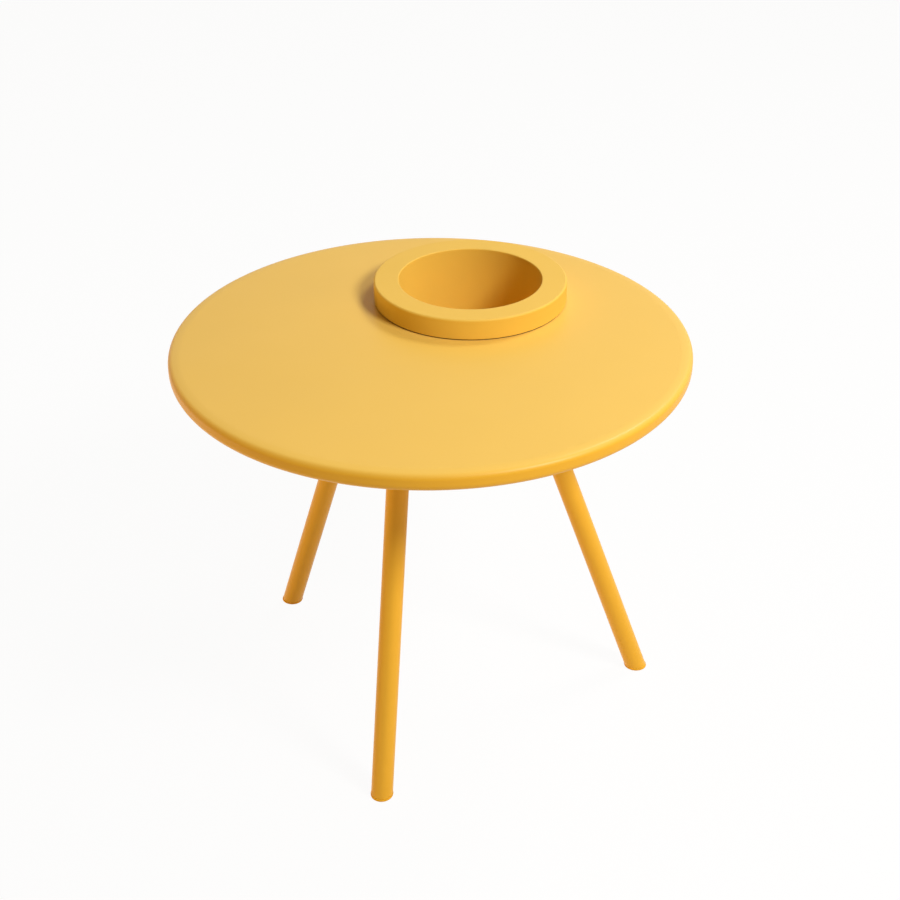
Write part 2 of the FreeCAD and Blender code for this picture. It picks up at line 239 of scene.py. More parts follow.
class PlanterTableFinishes(bpy.types.PropertyGroup):
    """Colours and surface grain"""
    coat: colour("Powder Coat", "Colour of the coated metal", (0.84, 0.445, 0.028))
    # Paler colour of the coat on faces that look up: painted light and sheen on the tops, over the upright colour
    coat_faded: colour("Top-Lit Coat", "Colour of the coat where it looks up, painted paler as light", (0.87, 0.565, 0.115))
    plastic: colour("Moulded Plastic", "Colour of the pot", (0.86, 0.53, 0.080))
    # Paler colour of the plastic on faces that look up: painted light and sheen on the tops, over the upright colour
    plastic_faded: colour("Top-Lit Plastic", "Colour of the plastic where it looks up, painted paler as light", (0.87, 0.57, 0.118))
    rubber: colour("Soft Ring", "Colour of the seat ring", (0.11, 0.066, 0.018))
    zinc: colour("Zinc", "Colour of the plated fasteners", (0.62, 0.63, 0.65))
    coat_sheen: number("Coat Sheen", "Specular level of the powder coat", 0.22)
    plastic_sheen: number("Plastic Sheen", "Specular level of the moulded plastic", 0.12)
    coat_roughness: number("Coat Roughness", "Mean roughness of the powder coat", 0.38)
    plastic_roughness: number("Plastic Roughness", "Mean roughness of the moulded plastic", 0.50)
    rubber_roughness: number("Ring Roughness", "Mean roughness of the seat ring", 0.72)
    zinc_roughness: number("Zinc Roughness", "Mean roughness of the plated fasteners", 0.34)
    peel_size: length("Peel Size", "Size of the coat's orange peel", 0.0022)
    peel_height: length("Peel Height", "Height of the coat's orange peel", 0.000007)
    grain_size: length("Grain Size", "Size of the finest grain in the coat", 0.0004)
    grain_height: length("Grain Height", "Height of the finest grain in the coat", 0.000004)


class PlanterTableStage(bpy.types.PropertyGroup):
    """Camera, lamps and floor"""
    bearing: angle("Bearing", "Turn of the camera's place about the table", 23.539)
    distance: length("Distance", "Level distance from the table's axis to the camera", 1.7217)
    height: length("Height", "Height of the camera above the floor", 1.33818)
    pitch: angle("Pitch", "Slope of the view below the horizon", 30.5455)
    yaw: angle("Yaw", "Turn of the view to the right of the table's axis", 0.7176)
    roll: angle("Roll", "Clockwise roll of the camera", 0.3173)
    lens: number("Lens", "Focal length in millimetres on a 36 mm sensor", 66.905)
    floor_size: length("Floor Size", "Side of the floor", 60)
    floor_drop: length("Floor Drop", "Gap between the feet and the floor", 0.0003)
    floor_tone: number("Floor Tone", "Brightness of the floor's matt colour", 0.92)
    floor_white: number("Floor White", "Share of the floor's look that is plain white", 0.95)
    floor_glow: number("Floor Glow", "Share of the floor's light that doesn't depend on shadows", 0.14)
    ambient: number("Ambient", "Strength of the light from all round", 0.24)
    fill: colour("Fill", "Colour of the light from all round, the floor and the low lamp", (1.0, 0.70, 0.22))
    lamp_distance: length("Lamp Distance", "Distance of the lamps from the table", 3.0)
    key_size: length("Key Lamp Size", "Diameter of the key lamp", 0.9)
    key_power: number("Key Lamp Power", "Power of the key lamp in watts", 70)
    key_side: angle("Key Lamp Side", "Bearing of the key lamp to the right of the camera", 50)
    key_height: angle("Key Lamp Height", "Elevation of the key lamp above the tabletop", 41)
    back_size: length("Back Lamp Size", "Diameter of the back lamp", 0.9)
    back_power: number("Back Lamp Power", "Power of the back lamp in watts", 30)
    back_side: angle("Back Lamp Side", "Bearing of the back lamp to the right of the camera", 130)
    back_height: angle("Back Lamp Height", "Elevation of the back lamp above the tabletop", 50)
    low_size: length("Low Lamp Size", "Diameter of the low side lamp", 0.4)
    low_power: number("Low Lamp Power", "Power of the low side lamp in watts", 38)
    low_side: angle("Low Lamp Side", "Bearing of the low side lamp to the right of the camera", -95)
    low_height: angle("Low Lamp Height", "Elevation of the low side lamp above the tabletop", -6)


# Shaping pieces with mesh operators

def round_off(bm, geometry, affect, offset, segments, clamp=True):
    """Rounds corners or edges of a mesh."""
    bmesh.ops.bevel(bm, geom=geometry, offset=offset, offset_type="OFFSET", affect=affect, segments=segments,
                    profile=0.5, material=-1, clamp_overlap=clamp)


def spin_round(bm, steps, rise=0, closed=True):
    """Turns a line once about the Z axis, with a rise over the whole turn."""
    bmesh.ops.spin(bm, geom=bm.verts[:] + bm.edges[:], cent=(0, 0, 0), axis=UP, dvec=UP * (rise / steps),
                   angle=FULL_TURN, steps=steps, use_merge=closed)


def is_level(edge, level, tolerance=MERGE_DISTANCE):
    """Whether an edge lies at a level above the floor."""
    return all(abs(vertex.co.z - level) < tolerance for vertex in edge.verts)


def hard_edges(bm):
    """Edges where two faces meet at more than a soft bend."""
    return [edge for edge in bm.edges if edge.is_manifold and edge.calc_face_angle() > HARD_ANGLE]


def outline(corners, segments):
    """Closed outline in the XZ plane from corners (radius, height, rounding)."""
    bm = bmesh.new()
    vertices = [bm.verts.new((radius, 0, height)) for radius, height, _ in corners]
    places = [vertex.co.copy() for vertex in vertices]
    bm.faces.new(vertices)
    for i, (_, _, rounding) in enumerate(corners):
        if rounding:
            to_last = places[i - 1] - places[i]
            to_next = places[(i + 1) % len(places)] - places[i]
            offset = rounding / math.tan(to_last.angle(to_next) / 2)
            round_off(bm, [vertices[i]], "VERTICES", offset, segments, clamp=False)
    bmesh.ops.delete(bm, geom=bm.faces[:], context="FACES_ONLY")
    return bm


def tidy_mesh(bm):
    """Merges doubles and turns every face outwards."""
    bmesh.ops.remove_doubles(bm, verts=bm.verts[:], dist=MERGE_DISTANCE)
    bmesh.ops.recalc_face_normals(bm, faces=bm.faces[:])


def turned(corners, axis, steps, open_radius=None, segments=8):
    """Outline turned about an axis. Outline edges that run along open_radius are left out."""
    bm = outline(corners, segments)
    if open_radius is not None:
        open_edges = [edge for edge in bm.edges
                      if all(abs(vertex.co.x - open_radius) < MERGE_DISTANCE for vertex in edge.verts)]
        bmesh.ops.delete(bm, geom=open_edges, context="EDGES")
    spin_round(bm, steps)
    tidy_mesh(bm)
    bmesh.ops.transform(bm, matrix=axis.place, verts=bm.verts[:])
    return bm


def cut_level(bm, level, keep_above, bored=False):
    """Cuts a closed mesh at a level above the floor and closes the cut, as a ring where the mesh is bored."""
    bmesh.ops.bisect_plane(bm, geom=bm.verts[:] + bm.edges[:] + bm.faces[:], dist=MERGE_DISTANCE,
                           plane_co=(0, 0, level), plane_no=UP,
                           clear_inner=keep_above, clear_outer=not keep_above)
    rim = [edge for edge in bm.edges if edge.is_boundary]
    if bored:
        bmesh.ops.bridge_loops(bm, edges=rim)
    else:
        bmesh.ops.holes_fill(bm, edges=rim, sides=0)
    bmesh.ops.recalc_face_normals(bm, faces=bm.faces[:])


def round_cut(bm, level, radius, segments):
    """Rounds the hard edges that lie in a level cut."""
    cut_edges = [edge for edge in hard_edges(bm) if is_level(edge, level)]
    round_off(bm, cut_edges, "EDGES", radius, segments)


def joined(meshes):
    """One mesh from several."""
    whole = bmesh.new()
    for bm in meshes:
        carrier = bpy.data.meshes.new("carrier")
        bm.to_mesh(carrier)
        bm.free()
        whole.from_mesh(carrier)
        bpy.data.meshes.remove(carrier)
    return whole


def merged_copy(node):
    """Merged copy of a CAD node's mesh, with its flat faces made whole."""
    bm = bmesh.new()
    bm.from_mesh(frame["nodes"][node].data)
    bmesh.ops.remove_doubles(bm, verts=bm.verts[:], dist=LOOSE_MERGE_DISTANCE)
    bmesh.ops.dissolve_limit(bm, angle_limit=FLAT_ANGLE, verts=bm.verts[:], edges=bm.edges[:])
    return bm


def eased_copy(node, ease):
    """Merged copy of a CAD node with its hard edges rounded."""
    bm = merged_copy(node)
    round_off(bm, hard_edges(bm), "EDGES", ease, segments=2)
    return bm


def solid_middles(node):
    """Middle of each separate solid in a CAD node."""
    bm = merged_copy(node)
    waiting = dict.fromkeys(bm.verts)
    middles = []
    while waiting:
        front = [waiting.popitem()[0]]
        island = []
        while front:
            vertex = front.pop()
            island.append(vertex.co.copy())
            for edge in vertex.link_edges:
                other = edge.other_vert(vertex)
                if other in waiting:
                    del waiting[other]
                    front.append(other)
        middles.append(sum(island, Vector()) / len(island))
    bm.free()
    return middles


def threaded_rod(axis, radius, pitch, low, high):
    """Rod with a real screw thread, cut square at both ends."""
    root = radius - THREAD_DEPTH * pitch
    start = low - THREAD_SPARE_TURNS * pitch
    turns = math.ceil((high - low) / pitch) + THREAD_SPARE_TURNS + 1
    bm = bmesh.new()
    vertices = []
    for i in range(2 * turns + 1):
        vertices.append(bm.verts.new((root if i % 2 else radius, 0, start + i * pitch / 2)))
    for first, second in zip(vertices, vertices[1:]):
        bm.edges.new((first, second))
    spin_round(bm, THREAD_STEPS, rise=pitch, closed=False)
    bmesh.ops.remove_doubles(bm, verts=bm.verts[:], dist=LOOSE_MERGE_DISTANCE)
    cut_level(bm, low, keep_above=True)
    cut_level(bm, high, keep_above=False)
    tidy_mesh(bm)
    bmesh.ops.transform(bm, matrix=axis.place, verts=bm.verts[:])
    return bm


def finished(name, bm, body, slot, material, *nodes):
    """Object from a mesh: shaded, on its body, with its material, and with the CAD nodes it stands for hidden. Its
    slot is not used.
    """
    mesh = bpy.data.meshes.new(name)
    bm.to_mesh(mesh)
    bm.free()
    mesh.shade_smooth()
    mesh.set_sharp_from_angle(angle=HARD_ANGLE)
    mesh.materials.append(material)
    piece = bpy.data.objects.new(name, mesh)
    bpy.context.scene.collection.objects.link(piece)
    shading = piece.modifiers.new("even_shading", "WEIGHTED_NORMAL")
    shading.keep_sharp = True
    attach(piece, body)
    if nodes:
        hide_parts(*nodes)
    return piece


# Shader maths as expressions

class Value:
    """Output of a shader node. Arithmetic on it adds Math nodes."""

    def __init__(self, shader, node, output):
        self.shader = shader
        self.node = node
        self.socket = node.outputs[output]

    def other(self, output):
        """Another output of the same node."""
        return Value(self.shader, self.node, output)

    def maths(self, operation, first, second):
        """Result of a Math node."""
        return self.shader.add("ShaderNodeMath", {"operation": operation}, {0: first, 1: second})

    def __add__(self, term):
        return self.maths("ADD", self, term)

    def __radd__(self, term):
        return self.maths("ADD", term, self)

    def __sub__(self, term):
        return self.maths("SUBTRACT", self, term)

    def __rsub__(self, term):
        return self.maths("SUBTRACT", term, self)

    def __mul__(self, term):
        return self.maths("MULTIPLY", self, term)

    def __rmul__(self, term):
        return self.maths("MULTIPLY", term, self)


class Shader:
    """Node tree of a material or of the world."""

    def __init__(self, owner):
        owner.use_nodes = True
        self.tree = owner.node_tree
        self.tree.nodes.clear()

    def add(self, kind, settings=None, sockets=None, output=0):
        """New node with its settings made first, then the values or links of its sockets."""
        node = self.tree.nodes.new(kind)
        for key, value in (settings or {}).items():
            setattr(node, key, value)
        for key, value in (sockets or {}).items():
            if isinstance(value, Value):
                self.tree.links.new(value.socket, node.inputs[key])
            else:
                node.inputs[key].default_value = value
        return Value(self, node, output) if node.outputs else None

    def noise(self, size, detail=2.0):
        """Noise between 0 and 1 on Object coordinates, with features of a size in metres."""
        place = self.add("ShaderNodeTexCoord", output="Object")
        return self.add("ShaderNodeTexNoise", None, {"Vector": place, "Scale": 1 / size, "Detail": detail})

    def between(self, factor, first, second):
        """Colour between two colours."""
        sockets = {MIX_FACTOR: factor, MIX_FIRST: first, MIX_SECOND: second}
        return self.add("ShaderNodeMix", {"data_type": "RGBA"}, sockets, output=MIX_RESULT)

    def layered(self, factor, first, second):
        """Shader between two shaders."""
        return self.add("ShaderNodeMixShader", None, {0: factor, 1: first, 2: second})

    def drift(self, base, shades, size, detail=2.0):
        """Linear colour that drifts between a darker and a brighter shade of a base."""
        darkest, brightest = shades
        return self.between(self.noise(size, detail), tinted(base, darkest), tinted(base, brightest))

    def faded(self, upright, level, size):
        """Linear colour that turns paler where a surface looks up, as painted light and sheen, each colour with a
        faint drift.
        """
        return self.between(self.upward(), self.drift(upright, FAINT_DRIFT, size),
                            self.drift(level, FAINT_DRIFT, size))

    def wander(self, mean, size, spread, detail=2.0):
        """Number that wanders about its mean, by half of the spread to each side."""
        return mean + (self.noise(size, detail) - NOISE_MEAN) * spread

    def grain(self, size, height, detail=2.0):
        """Height of a fine grain."""
        return self.noise(size, detail) * height

    def upward(self):
        """1 where a surface looks straight up, less where it tilts, and 0 where it is upright or looks down: the
        share of painted light and sheen.
        """
        normal = self.add("ShaderNodeNewGeometry", output="Normal")
        tilt = self.add("ShaderNodeSeparateXYZ", None, {0: normal}, output="Z")
        level = self.add("ShaderNodeClamp", None, {0: tilt})
        return level * level


def tinted(base, brightness):
    """Linear colour made brighter or darker, with full alpha."""
    return [*(channel * brightness for channel in base), 1]


def surface(name, base, roughness, height, metallic=0.0, specular=0.5):
    """Material from functions that give its colour, roughness and bump height on a shader."""
    material = bpy.data.materials.new(name)
    shader = Shader(material)
    bump = shader.add("ShaderNodeBump", None, {"Strength": 1.0, "Distance": 1.0, "Height": height(shader)})
    look = shader.add("ShaderNodeBsdfPrincipled", None, {
        "Base Color": base(shader),
        "Roughness": roughness(shader),
        "Metallic": metallic,
        "Specular IOR Level": specular,
        "Normal": bump,
    })
    shader.add("ShaderNodeOutputMaterial", None, {"Surface": look})
    return material


def satin_powder_coat():
    """Satin powder coat, painted paler on faces that look up as painted light and sheen: faint drift of colour,
    orange peel and a fine grain.
    """
    finish = bpy.context.scene.planter_table_finishes
    return surface(
        "satin_powder_coat",
        lambda shader: shader.faded(finish.coat, finish.coat_faded, size=0.11),
        lambda shader: shader.wander(finish.coat_roughness, size=0.05, spread=0.06),
        lambda shader: (shader.grain(finish.peel_size, finish.peel_height)
                        + shader.grain(finish.grain_size, finish.grain_height)),
        specular=finish.coat_sheen,
    )


def moulded_plastic():
    """Matt moulded plastic, painted paler on faces that look up as painted light and sheen, with a fine spark-eroded
    grain.
    """
    finish = bpy.context.scene.planter_table_finishes
    return surface(
        "moulded_plastic",
        lambda shader: shader.faded(finish.plastic, finish.plastic_faded, size=0.07),
        lambda shader: shader.wander(finish.plastic_roughness, size=0.04, spread=0.06),
        lambda shader: shader.grain(finish.grain_size, finish.grain_height, detail=3.0),
        specular=finish.plastic_sheen,
    )


def cap_plastic():
    """Matt moulded plastic of the feet, matched to the powder coat."""
    finish = bpy.context.scene.planter_table_finishes
    return surface(
        "cap_plastic",
        lambda shader: shader.drift(finish.coat, CAP_DRIFT, size=0.02),
        lambda shader: shader.wander(finish.plastic_roughness, size=0.01, spread=0.06),
        lambda shader: shader.grain(finish.grain_size, finish.grain_height, detail=3.0),
        specular=finish.plastic_sheen,
    )


def soft_rubber():
    """Dull soft ring."""
    finish = bpy.context.scene.planter_table_finishes
    return surface(
        "soft_rubber",
        lambda shader: shader.drift(finish.rubber, RUBBER_DRIFT, size=0.01),
        lambda shader: shader.wander(finish.rubber_roughness, size=0.006, spread=0.1),
        lambda shader: shader.grain(size=0.0005, height=0.00001),
    )


def zinc_plate():
    """Bright zinc plate with a slightly mottled sheen."""
    finish = bpy.context.scene.planter_table_finishes
    return surface(
        "zinc_plate",
        lambda shader: shader.drift(finish.zinc, ZINC_DRIFT, size=0.004, detail=4.0),
        lambda shader: shader.wander(finish.zinc_roughness, size=0.0015, spread=0.2, detail=3.0),
        lambda shader: shader.grain(size=0.0004, height=0.000006),
        metallic=1.0,
    )


def finish_material(make):
    """Material of a finish, made the first time it is asked for."""
    return bpy.data.materials.get(make.__name__) or make()


# Operators, one for each piece or group of like pieces

class PlanterTableBuild(bpy.types.Operator):
    """Common base of the operators that build pieces"""
    bl_options = {"REGISTER", "UNDO"}


class PLANTER_OT_tabletop(PlanterTableBuild):
    """Build the pressed tabletop with its rounded rim, folded hem and drawn neck"""
    bl_idname = "planter.tabletop"
    bl_label = "Tabletop"

    def execute(self, context):
        sizes = context.scene.planter_table_top
        low, high = (corner.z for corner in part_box("tabletop"))
        rim = TABLE_AXIS.reach("tabletop")[1]
        hole = POT_AXIS.reach("tabletop")[0]
        sheet = sizes.sheet
        rim_flat = rim - sizes.hem_width - sizes.flat_margin
        slope = math.atan2(sizes.shoulder_drop, sizes.shoulder_width)
        shoulder = rim - sizes.shoulder_width
        edge_height = high - sizes.shoulder_drop
        edge = turned([
            (rim_flat, high, 0),
            (shoulder, high, sizes.shoulder_round),
            (rim, edge_height, sizes.upper_round),
            (rim, low, sizes.lower_round),
            (rim - sizes.hem_width, low, sizes.hem_round),
            (rim - sizes.hem_width, low + sheet, sizes.hem_round),
            (rim - sheet, low + sheet, sizes.lower_round - sheet),
            (rim - sheet, edge_height - sheet * math.tan((QUARTER_TURN - slope) / 2), sizes.upper_round - sheet),
            (shoulder - sheet * math.tan(slope / 2), high - sheet, sizes.shoulder_round - sheet),
            (rim_flat, high - sheet, 0),
        ], TABLE_AXIS, sizes.steps, open_radius=rim_flat, segments=10)
        neck_flat = hole + sizes.hole_bend + sizes.flat_margin
        neck_end = high - sizes.neck_depth
        neck = turned([
            (neck_flat, high, 0),
            (hole, high, sizes.hole_bend),
            (hole, neck_end, sizes.neck_round),
            (hole + sheet, neck_end, sizes.neck_round),
            (hole + sheet, high - sheet, sizes.hole_bend - sheet),
            (neck_flat, high - sheet, 0),
        ], POT_AXIS, sizes.steps, open_radius=neck_flat, segments=6)
        bm = joined([edge, neck])
        for level in (high, high - sheet):
            rings = [ring for ring in bm.edges if ring.is_boundary and is_level(ring, level, LEVEL_TOLERANCE)]
            bmesh.ops.bridge_loops(bm, edges=rings)
        tidy_mesh(bm)
        finished("coated_tabletop", bm, "table", "powder_coat", finish_material(satin_powder_coat), "tabletop")
        return {"FINISHED"}


class PLANTER_OT_pot(PlanterTableBuild):
    """Build the moulded pot: a tapered bucket with a broad, hollow collar"""
    bl_idname = "planter.pot"
    bl_label = "Planter Pot"

    def execute(self, context):
        sizes = context.scene.planter_table_pot
        base, top = (corner.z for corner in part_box("planter_pot"))
        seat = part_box("pot_seat_ring")[1].z
        collar = POT_AXIS.reach("planter_pot")[1]
        mouth = collar - sizes.collar_width
        slope = math.tan(sizes.draft)
        floor = top - sizes.depth
        under = top - sizes.wall
        base_radius = mouth + sizes.wall - (top - base) * slope
        stand = base_radius - sizes.floor_round - sizes.stand_width
        stand_top = base + sizes.stand_height
        bm = turned([
            (0, floor, 0),
            (mouth - (top - floor) * slope, floor, sizes.floor_round),
            (mouth, top, sizes.mouth_round),
            (collar, top, sizes.edge_round),
            (collar, seat, sizes.foot_round),
            (collar - sizes.wall, seat, sizes.foot_round),
            (collar - sizes.wall, under, sizes.mouth_round),
            (mouth + sizes.wall - (top - under) * slope, under, sizes.mouth_round),
            (base_radius, base, sizes.floor_round),
            (stand, base, sizes.stand_round),
            (stand - sizes.stand_height, stand_top, sizes.stand_round),
            (0, stand_top, 0),
        ], POT_AXIS, sizes.steps, open_radius=0)
        finished("moulded_pot", bm, "pot", "pot_plastic", finish_material(moulded_plastic), "planter_pot")
        return {"FINISHED"}


class PLANTER_OT_seat_ring(PlanterTableBuild):
    """Build the soft ring that lines the hole and cushions the collar"""
    bl_idname = "planter.seat_ring"
    bl_label = "Seat Ring"

    def execute(self, context):
        sizes = context.scene.planter_table_pot
        top_sizes = context.scene.planter_table_top
        neck_end, seat = (corner.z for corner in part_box("pot_seat_ring"))
        inner, edge = POT_AXIS.reach("pot_seat_ring")
        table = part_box("tabletop")[1].z
        gap = POT_AXIS.reach("tabletop")[0] - inner
        outer = inner + gap * sizes.seat_fit
        bm = turned([
            (inner, seat, sizes.seat_round),
            (edge, seat, sizes.seat_round),
            (edge, table, 0),
            (outer, table, top_sizes.hole_bend / 2),
            (outer, neck_end, sizes.seat_round),
            (inner, neck_end, sizes.seat_round),
        ], POT_AXIS, sizes.steps, segments=4)
        finished("soft_seat_ring", bm, "seat_ring", "seat_rubber", finish_material(soft_rubber), "pot_seat_ring")
        return {"FINISHED"}


class PLANTER_OT_legs(PlanterTableBuild):
    """Build the three tubes and the turned plugs in their upper ends"""
    bl_idname = "planter.legs"
    bl_label = "Legs"

    def execute(self, context):
        sizes = context.scene.planter_table_legs
        coat = finish_material(satin_powder_coat)
        for side in LEG_SIDES:
            axis = LEG_AXES[side]
            tube = "leg_tube_" + side
            plug = "leg_plug_" + side
            bore, outer = axis.reach(tube)
            start, end = axis.span(tube)
            # The tube is turned longer than it is and then cut level.
            bm = turned([
                (bore, start, sizes.end_round),
                (outer, start, sizes.end_round),
                (outer, end + outer, 0),
                (bore, end + outer, 0),
            ], axis, sizes.steps, segments=3)
            foot_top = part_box(tube)[0].z
            cut_level(bm, foot_top, keep_above=True, bored=True)
            round_cut(bm, foot_top, sizes.lip_round, segments=2)
            finished("coated_leg_" + side, bm, "table", "powder_coat", coat, tube)
            thread, head = axis.reach(plug)
            plug_start, plug_end = axis.span(plug)
            shank = bore - sizes.clearance
            bm = turned([
                (thread, plug_start, sizes.end_round),
                (head, plug_start, sizes.end_round),
                (head, start, 0),
                (shank, start, 0),
                (shank, plug_end, sizes.end_round),
                (thread, plug_end, sizes.end_round),
            ], axis, sizes.steps, segments=3)
            finished("turned_plug_" + side, bm, "table", "powder_coat", coat, plug)
        return {"FINISHED"}


class PLANTER_OT_feet(PlanterTableBuild):
    """Build the level feet with their barbed spigots"""
    bl_idname = "planter.feet"
    bl_label = "Feet"

    def execute(self, context):
        sizes = context.scene.planter_table_legs
        plastic = finish_material(cap_plastic)
        for side in LEG_SIDES:
            axis = LEG_AXES[side]
            node = "leg_foot_" + side
            radius = axis.reach(node)[1]
            bore = axis.reach("leg_tube_" + side)[0]
            cap_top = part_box("leg_tube_" + side)[0].z
            lip = axis.height_at(cap_top)
            spigot_end = axis.span(node)[0]
            # The cap is cut level from a longer bar.
            cap = turned([
                (0, lip - radius, 0),
                (radius, lip - radius, 0),
                (radius, lip + 2 * radius, 0),
                (0, lip + 2 * radius, 0),
            ], axis, sizes.steps, open_radius=0)
            cut_level(cap, 0, keep_above=True)
            cut_level(cap, cap_top, keep_above=False)
            round_cut(cap, 0, sizes.foot_round, segments=5)
            round_cut(cap, cap_top, sizes.lip_round, segments=2)
            grip = bore - sizes.clearance
            pitch = (lip - spigot_end) / sizes.barb_count
            corners = [(0, lip + radius, 0), (grip, lip + radius, 0)]
            for i in range(sizes.barb_count):
                barb = lip - i * pitch
                corners.append((grip, barb - pitch * BARB_LAND, 0))
                corners.append((bore - sizes.barb_depth, barb - pitch, 0))
                if i < sizes.barb_count - 1:
                    corners.append((grip, barb - pitch, 0))
            corners.append((0, spigot_end, 0))
            spigot = turned(corners, axis, sizes.steps, open_radius=0)
            cut_level(spigot, cap_top - sizes.lip_round, keep_above=True)
            finished("foot_cap_" + side, joined([cap, spigot]), "table", "foot_plastic", plastic, node)
        return {"FINISHED"}


class PLANTER_OT_sockets(PlanterTableBuild):
    """Build the sockets under the base plate, their weld beads and the leg studs"""
    bl_idname = "planter.sockets"
    bl_label = "Sockets"

    def execute(self, context):
        sizes = context.scene.planter_table_legs
        coat = finish_material(satin_powder_coat)
        for side in LEG_SIDES:
            axis = LEG_AXES[side]
            node = "leg_socket_" + side
            radius = axis.reach(node)[1]
            top, end = axis.span(node)
            stud_start, stud_end = axis.span("leg_stud_" + side)
            stud_radius = axis.reach("leg_stud_" + side)[1]
            chamfer = sizes.socket_chamfer
            bore = stud_radius + sizes.clearance
            bore_end = stud_start - chamfer
            bm = turned([
                (0, top - chamfer, 0),
                (radius, top - chamfer, 0),
                (radius, end - chamfer, sizes.socket_round),
                (radius - chamfer, end, sizes.socket_round),
                (bore, end, 0),
                (bore, bore_end, 0),
                (0, bore_end, 0),
            ], axis, sizes.steps, open_radius=0, segments=3)
            cut_level(bm, PLATE_UNDERSIDE, keep_above=False)
            finished("coated_socket_" + side, bm, "table", "powder_coat", coat, node)
            bead = self.weld_bead(axis, radius, sizes)
            finished("weld_bead_" + side, bead, "table", "powder_coat", coat)
            rod = threaded_rod(axis, stud_radius, sizes.leg_pitch, stud_start, stud_end)
            finished("leg_thread_" + side, rod, "table", "zinc_steel", finish_material(zinc_plate),
                     "leg_stud_" + side)
        return {"FINISHED"}

    def weld_bead(self, axis, radius, sizes):
        """Rippled bead in the corner between a socket and the base plate."""
        section = Matrix.Translation((radius, 0, 0)) @ Matrix.Rotation(QUARTER_TURN, 4, "X")
        bm = bmesh.new()
        bmesh.ops.create_circle(bm, cap_ends=False, radius=sizes.bead, segments=BEAD_SIDES, matrix=section)
        spin_round(bm, sizes.bead_ripples * BEAD_RIPPLE_STEPS)
        tidy_mesh(bm)
        for vertex in bm.verts:
            bearing = math.atan2(vertex.co.y, vertex.co.x)
            core = Vector((math.cos(bearing), math.sin(bearing), 0)) * radius
            ripple = sizes.bead_ripple * math.cos(sizes.bead_ripples * bearing)
            wave = sizes.bead_wave * math.sin(sizes.bead_waves * bearing)
            vertex.co = core + (vertex.co - core) * (1 + ripple + wave)
        lean = Vector((axis.direction.x, axis.direction.y, 0))
        stretch = Matrix.Scale(1 / -axis.direction.z, 4, lean.normalized())
        place = Matrix.Translation(axis.at_level(PLATE_UNDERSIDE)) @ stretch
        bmesh.ops.transform(bm, matrix=place, verts=bm.verts[:])
        cut_level(bm, PLATE_UNDERSIDE, keep_above=False)
        return bm


class PLANTER_OT_base_plate(PlanterTableBuild):
    """Build the base plate and the studs, washers and nuts that hold it"""
    bl_idname = "planter.base_plate"
    bl_label = "Base Plate"

    def execute(self, context):
        sizes = context.scene.planter_table_legs
        zinc = finish_material(zinc_plate)
        plate = eased_copy("base_plate", sizes.plate_ease)
        finished("coated_base_plate", plate, "table", "powder_coat", finish_material(satin_powder_coat), "base_plate")
        for node, name in (("plate_washers", "zinc_washers"), ("plate_nuts", "zinc_nuts")):
            finished(name, eased_copy(node, sizes.fastener_ease), "table", "zinc_steel", zinc, node)
        low, high = (corner.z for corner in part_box("plate_studs"))
        rods = []
        for place in solid_middles("plate_studs"):
            axis = Axis((place.x, place.y, 0))
            radius = min((point - place).xy.length for point in node_points("plate_studs"))
            rods.append(threaded_rod(axis, radius, sizes.plate_pitch, low, high))
        finished("zinc_studs", joined(rods), "table", "zinc_steel", zinc, "plate_studs")
        return {"FINISHED"}


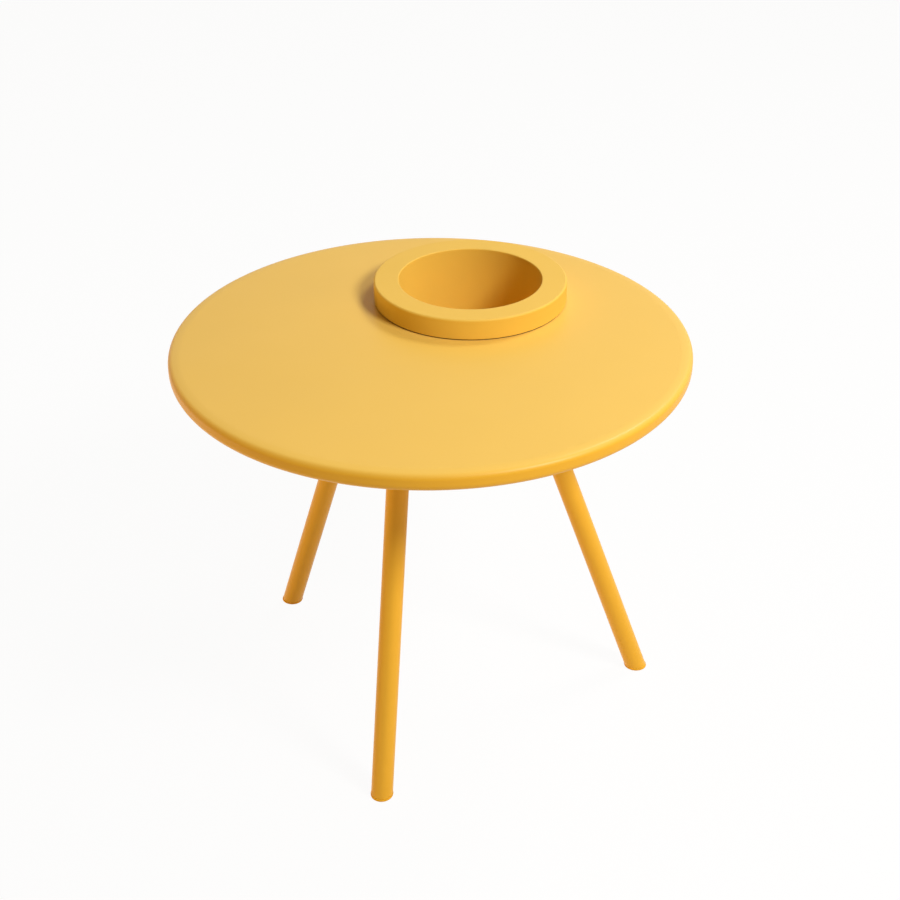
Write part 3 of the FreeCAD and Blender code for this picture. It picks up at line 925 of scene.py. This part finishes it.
class PLANTER_OT_stage(bpy.types.Operator):
    """Set the floor, the surroundings, the lamps and the camera"""
    bl_idname = "planter.stage"
    bl_label = "Stage"

    def execute(self, context):
        stage = context.scene.planter_table_stage
        floor = self.floor(context, stage)
        self.surroundings(context, stage)
        self.lamp(context, stage, "key_lamp", stage.key_side, stage.key_height, stage.key_power, stage.key_size)
        self.lamp(context, stage, "back_lamp", stage.back_side, stage.back_height, stage.back_power, stage.back_size)
        low_lamp = self.lamp(context, stage, "low_lamp", stage.low_side, stage.low_height, stage.low_power,
                             stage.low_size)
        low_lamp.data.color = stage.fill
        low_lamp.visible_glossy = False
        self.spare(low_lamp, floor)
        self.camera(context, stage)
        context.scene.view_settings.view_transform = "Standard"
        return {"FINISHED"}

    def seen(self, shader):
        """1 for rays that show the stage itself, and 0 for rays that only gather light."""
        path = shader.add("ShaderNodeLightPath", output="Is Camera Ray")
        return path + path.other("Is Glossy Ray") + path.other("Is Transmission Ray")

    def floor(self, context, stage):
        """Pale floor that can be seen through from below."""
        bm = bmesh.new()
        bmesh.ops.create_grid(bm, x_segments=1, y_segments=1, size=stage.floor_size / 2,
                              matrix=Matrix.Translation((0, 0, -stage.floor_drop)))
        mesh = bpy.data.meshes.new("floor")
        bm.to_mesh(mesh)
        bm.free()
        material = bpy.data.materials.new("pale_floor")
        shader = Shader(material)
        matt = shader.add("ShaderNodeBsdfDiffuse", None, {"Color": tinted(WHITE, stage.floor_tone)})
        seen = self.seen(shader)
        glow = shader.between(seen, tinted(stage.fill, 1), tinted(WHITE, 1))
        plain = shader.add("ShaderNodeEmission", None, {"Color": glow, "Strength": 1.0})
        plain_share = stage.floor_glow + (stage.floor_white - stage.floor_glow) * seen
        look = shader.layered(plain_share, matt, plain)
        from_below = shader.add("ShaderNodeNewGeometry", output="Backfacing")
        clear = shader.add("ShaderNodeBsdfTransparent")
        one_sided = shader.layered(from_below, look, clear)
        shader.add("ShaderNodeOutputMaterial", None, {"Surface": one_sided})
        mesh.materials.append(material)
        floor = bpy.data.objects.new("floor", mesh)
        context.scene.collection.objects.link(floor)
        return floor

    def surroundings(self, context, stage):
        """World that looks white and gives a soft warm light from all round."""
        world = bpy.data.worlds.new("white_surroundings")
        shader = Shader(world)
        glow = shader.between(self.seen(shader), tinted(stage.fill, stage.ambient), tinted(WHITE, 1))
        light = shader.add("ShaderNodeBackground", None, {"Color": glow, "Strength": 1.0})
        shader.add("ShaderNodeOutputWorld", None, {"Surface": light})
        context.scene.world = world

    def lamp(self, context, stage, name, side, height, power, size):
        """Round soft lamp at a bearing to the right of the camera, aimed at the tabletop."""
        lamp = bpy.data.lights.new(name, "AREA")
        lamp.shape = "DISK"
        lamp.size = size
        lamp.energy = power
        bearing = stage.bearing + side
        level = math.cos(height)
        away = Vector((math.sin(bearing) * level, -math.cos(bearing) * level, math.sin(height)))
        holder = bpy.data.objects.new(name, lamp)
        holder.location = middle("tabletop") + away * stage.lamp_distance
        holder.rotation_euler = away.to_track_quat("Z", "Y").to_euler()
        context.scene.collection.objects.link(holder)
        return holder

    def spare(self, lamp, neighbour):
        """Keeps a lamp's light off an object that it stands close to."""
        spared = bpy.data.collections.new("spared_by_" + lamp.name)
        spared.objects.link(neighbour)
        spared.collection_objects[0].light_linking.link_state = "EXCLUDE"
        lamp.light_linking.receiver_collection = spared

    def camera(self, context, stage):
        """Camera at the photograph's viewing angle."""
        data = bpy.data.cameras.new("camera")
        data.sensor_width = SENSOR_WIDTH
        data.lens = stage.lens
        camera = bpy.data.objects.new("camera", data)
        turn = Matrix.Rotation(stage.bearing, 4, "Z")
        place = Matrix.Translation((0, -stage.distance, stage.height))
        aim = (Matrix.Rotation(-stage.yaw, 4, "Z") @ Matrix.Rotation(QUARTER_TURN - stage.pitch, 4, "X")
               @ Matrix.Rotation(-stage.roll, 4, "Z"))
        camera.matrix_world = turn @ place @ aim
        context.scene.collection.objects.link(camera)
        context.scene.camera = camera


OPERATORS = (
    PLANTER_OT_tabletop,
    PLANTER_OT_pot,
    PLANTER_OT_seat_ring,
    PLANTER_OT_legs,
    PLANTER_OT_feet,
    PLANTER_OT_sockets,
    PLANTER_OT_base_plate,
    PLANTER_OT_stage,
)
SETTINGS = {
    "planter_table_top": PlanterTableTopSizes,
    "planter_table_pot": PlanterTablePotSizes,
    "planter_table_legs": PlanterTableLegSizes,
    "planter_table_finishes": PlanterTableFinishes,
    "planter_table_stage": PlanterTableStage,
}


class PLANTER_PT_sidebar(bpy.types.Panel):
    """Lists the operators and their settings"""
    bl_idname = "PLANTER_PT_sidebar"
    bl_label = "Planter Table"
    bl_space_type = "VIEW_3D"
    bl_region_type = "UI"
    bl_category = "Planter Table"

    def draw(self, context):
        column = self.layout.column()
        for operator in OPERATORS:
            column.operator(operator.bl_idname)
        for name, group in SETTINGS.items():
            box = self.layout.box()
            box.label(text=group.__doc__)
            settings = getattr(context.scene, name)
            for key in group.__annotations__:
                box.prop(settings, key)


CLASSES = (*SETTINGS.values(), *OPERATORS, PLANTER_PT_sidebar)


def register():
    """Registers the classes and puts the settings on the scene."""
    for cls in CLASSES:
        bpy.utils.register_class(cls)
    for name, group in SETTINGS.items():
        setattr(bpy.types.Scene, name, PointerProperty(type=group))


def unregister():
    """Takes the settings off the scene and unregisters the classes."""
    for name in SETTINGS:
        delattr(bpy.types.Scene, name)
    for cls in reversed(CLASSES):
        bpy.utils.unregister_class(cls)


def main():
    register()
    bpy.ops.planter.tabletop()
    bpy.ops.planter.pot()
    bpy.ops.planter.seat_ring()
    bpy.ops.planter.legs()
    bpy.ops.planter.feet()
    bpy.ops.planter.sockets()
    bpy.ops.planter.base_plate()
    bpy.ops.planter.stage()


if __name__ == "__main__":
    main()
